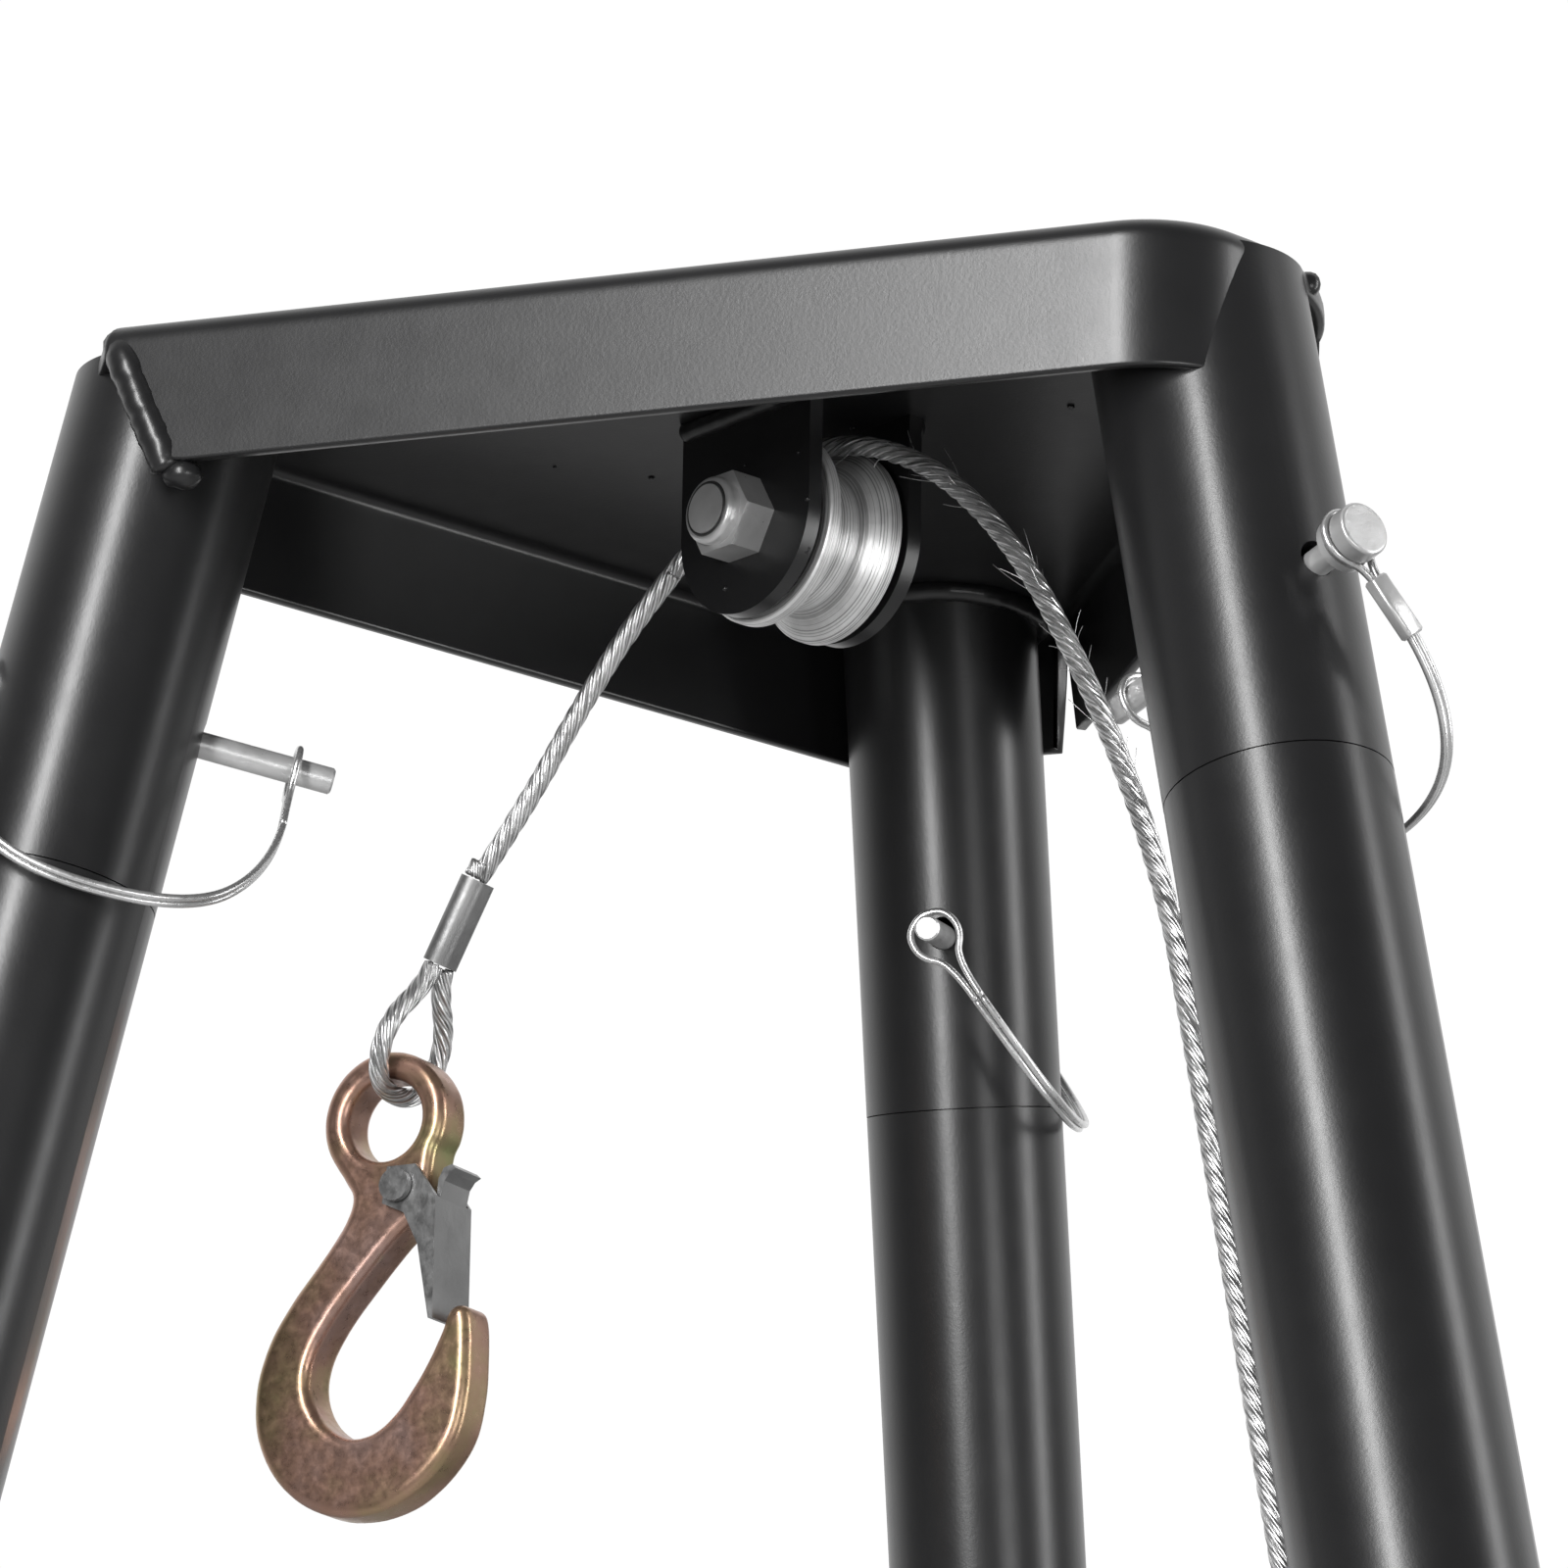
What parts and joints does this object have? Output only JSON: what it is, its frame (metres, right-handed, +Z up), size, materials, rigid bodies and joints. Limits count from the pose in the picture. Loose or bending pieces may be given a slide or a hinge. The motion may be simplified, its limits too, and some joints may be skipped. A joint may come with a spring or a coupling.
{
  "type": "tripod hoist",
  "caption": "Three-legged steel hoist with a folded head pan, under-slung sheave, hand winch, wire rope and latched eye hook.",
  "frame": {"origin": "floor level, under the centre of the whole object's bounding box", "axes": "+Z up, the front skirt of the head pan faces -Y"},
  "size_m": [1.1934, 1.0474, 2.3],
  "materials": {
    "powder_coat": "satin black powder coat with fine orange peel",
    "zinc": "bright zinc plate",
    "wire": "bright stranded wire",
    "winch_steel": "zinc-plated pressed steel",
    "wire_rope": "galvanised seven-strand wire rope",
    "sheave_metal": "turned, dull grey",
    "bronze": "sintered bronze",
    "grip_plastic": "moulded grip",
    "ferrule_metal": "pressed, dull",
    "hook_plating": "yellow chromate over forged steel",
    "latch_zinc": "zinc-plated sheet"
  },
  "bodies": {
    "frame": {"head_plate": "powder_coat", "weld_beads": "powder_coat", "bracket_ear_near": "powder_coat", "bracket_ear_far": "powder_coat", "pulley_bolt": "zinc", "pulley_nut": "zinc", "pulley_washers": "zinc", "head_lock_pins": "zinc", "mid_lock_pins": "zinc", "winch_frame": "winch_steel", "winch_u_bolts": "zinc", "rope_rise": "wire_rope", "socket_right": "powder_coat", "upper_leg_right": "powder_coat", "lower_leg_right": "powder_coat", "foot_pad_right": "powder_coat", "socket_left": "powder_coat", "upper_leg_left": "powder_coat", "lower_leg_left": "powder_coat", "foot_pad_left": "powder_coat", "socket_back": "powder_coat", "upper_leg_back": "powder_coat", "lower_leg_back": "powder_coat", "foot_pad_back": "powder_coat"},
    "sheave": {"sheave": "sheave_metal", "sheave_bushing": "bronze"},
    "drum": {"winch_drum": "winch_steel", "drum_shaft": "winch_steel", "ratchet_wheel": "winch_steel", "crank_arm": "winch_steel", "rope_wound": "wire_rope"},
    "grip": {"crank_grip": "grip_plastic"},
    "pawl": {"pawl": "winch_steel"},
    "hook_block": {"ferrule": "ferrule_metal", "rope_eye": "wire_rope", "rope_fall": "wire_rope"},
    "hook": {"hook_body": "hook_plating", "latch_rivet": "latch_zinc", "latch_spring": "latch_zinc"},
    "latch": {"hook_latch": "latch_zinc"},
    "head_bail_right": {"head_bail_right": "wire"},
    "head_bail_left": {"head_bail_left": "wire"},
    "head_bail_back": {"head_bail_back": "wire"},
    "mid_bail_right": {"mid_bail_right": "wire"},
    "mid_bail_left": {"mid_bail_left": "wire"},
    "mid_bail_back": {"mid_bail_back": "wire"}
  },
  "joints": [
    {"name": "drum_turn", "type": "hinge", "parent": "frame", "child": "drum", "pos_m": [0.22858, -0.28922, 1.3552], "axis": [-0.5, -0.866, 0], "range_deg": [0, 2880]},
    {"name": "grip_turn", "type": "hinge", "parent": "drum", "child": "grip", "pos_m": [0.11657, -0.33309, 1.18066], "axis": [-0.5, -0.866, 0], "continuous": true},
    {"name": "sheave_turn", "type": "hinge", "parent": "frame", "child": "sheave", "pos_m": [0.00996, -0.163, 2.2678], "axis": [0.5, 0.866, 0], "range_deg": [-5400, 60]},
    {"name": "pawl_turn", "type": "hinge", "parent": "frame", "child": "pawl", "pos_m": [0.23863, -0.24999, 1.39788], "axis": [-0.5, -0.866, 0], "range_deg": [0, 24]},
    {"name": "hook_travel", "type": "slide", "parent": "frame", "child": "hook_block", "axis": [0.0376, -0.0058, -0.9993], "range_m": [0, 1.87], "deforming": ["rope_fall"]},
    {"name": "hook_swing", "type": "hinge", "parent": "hook_block", "child": "hook", "pos_m": [-0.09897, -0.13746, 2.14389], "axis": [0.1685, 0.9857, 0], "range_deg": [-35, 35]},
    {"name": "latch_turn", "type": "hinge", "parent": "hook", "child": "latch", "pos_m": [-0.09286, -0.13851, 2.11893], "axis": [0.1685, 0.9857, 0], "range_deg": [0, 40], "stiffness_Nm_per_rad": 0.03, "springref_deg": -17.19},
    {"name": "head_bail_right_swing", "type": "hinge", "parent": "frame", "child": "head_bail_right", "pos_m": [0.13804, -0.23695, 2.21286], "axis": [-0.7701, 0.6053, -0.2013], "range_deg": [-100, 0]},
    {"name": "head_bail_left_swing", "type": "hinge", "parent": "frame", "child": "head_bail_left", "pos_m": [-0.13804, -0.23695, 2.21286], "axis": [0.8479, 0.4896, -0.2033], "range_deg": [-100, 0]},
    {"name": "head_bail_back_swing", "type": "hinge", "parent": "frame", "child": "head_bail_back", "pos_m": [0, 0.00214, 2.21286], "axis": [0.1564, -0.9671, -0.2008], "range_deg": [0, 96]},
    {"name": "mid_bail_right_swing", "type": "hinge", "parent": "frame", "child": "mid_bail_right", "pos_m": [0.33294, -0.34947, 1.12898], "axis": [-0.7701, 0.6053, -0.2013], "range_deg": [-100, 0]},
    {"name": "mid_bail_left_swing", "type": "hinge", "parent": "frame", "child": "mid_bail_left", "pos_m": [-0.33294, -0.34947, 1.12898], "axis": [0.8479, 0.4896, -0.2033], "range_deg": [-100, 0]},
    {"name": "mid_bail_back_swing", "type": "hinge", "parent": "frame", "child": "mid_bail_back", "pos_m": [0, 0.2272, 1.12898], "axis": [0.1564, -0.9671, -0.2008], "range_deg": [0, 96]}
  ],
  "couplings": [
    {"joint": "sheave_turn", "follows": "drum_turn", "ratio": -1.805},
    {"joint": "hook_travel", "follows": "drum_turn", "m_per_rad": 0.037}
  ]
}
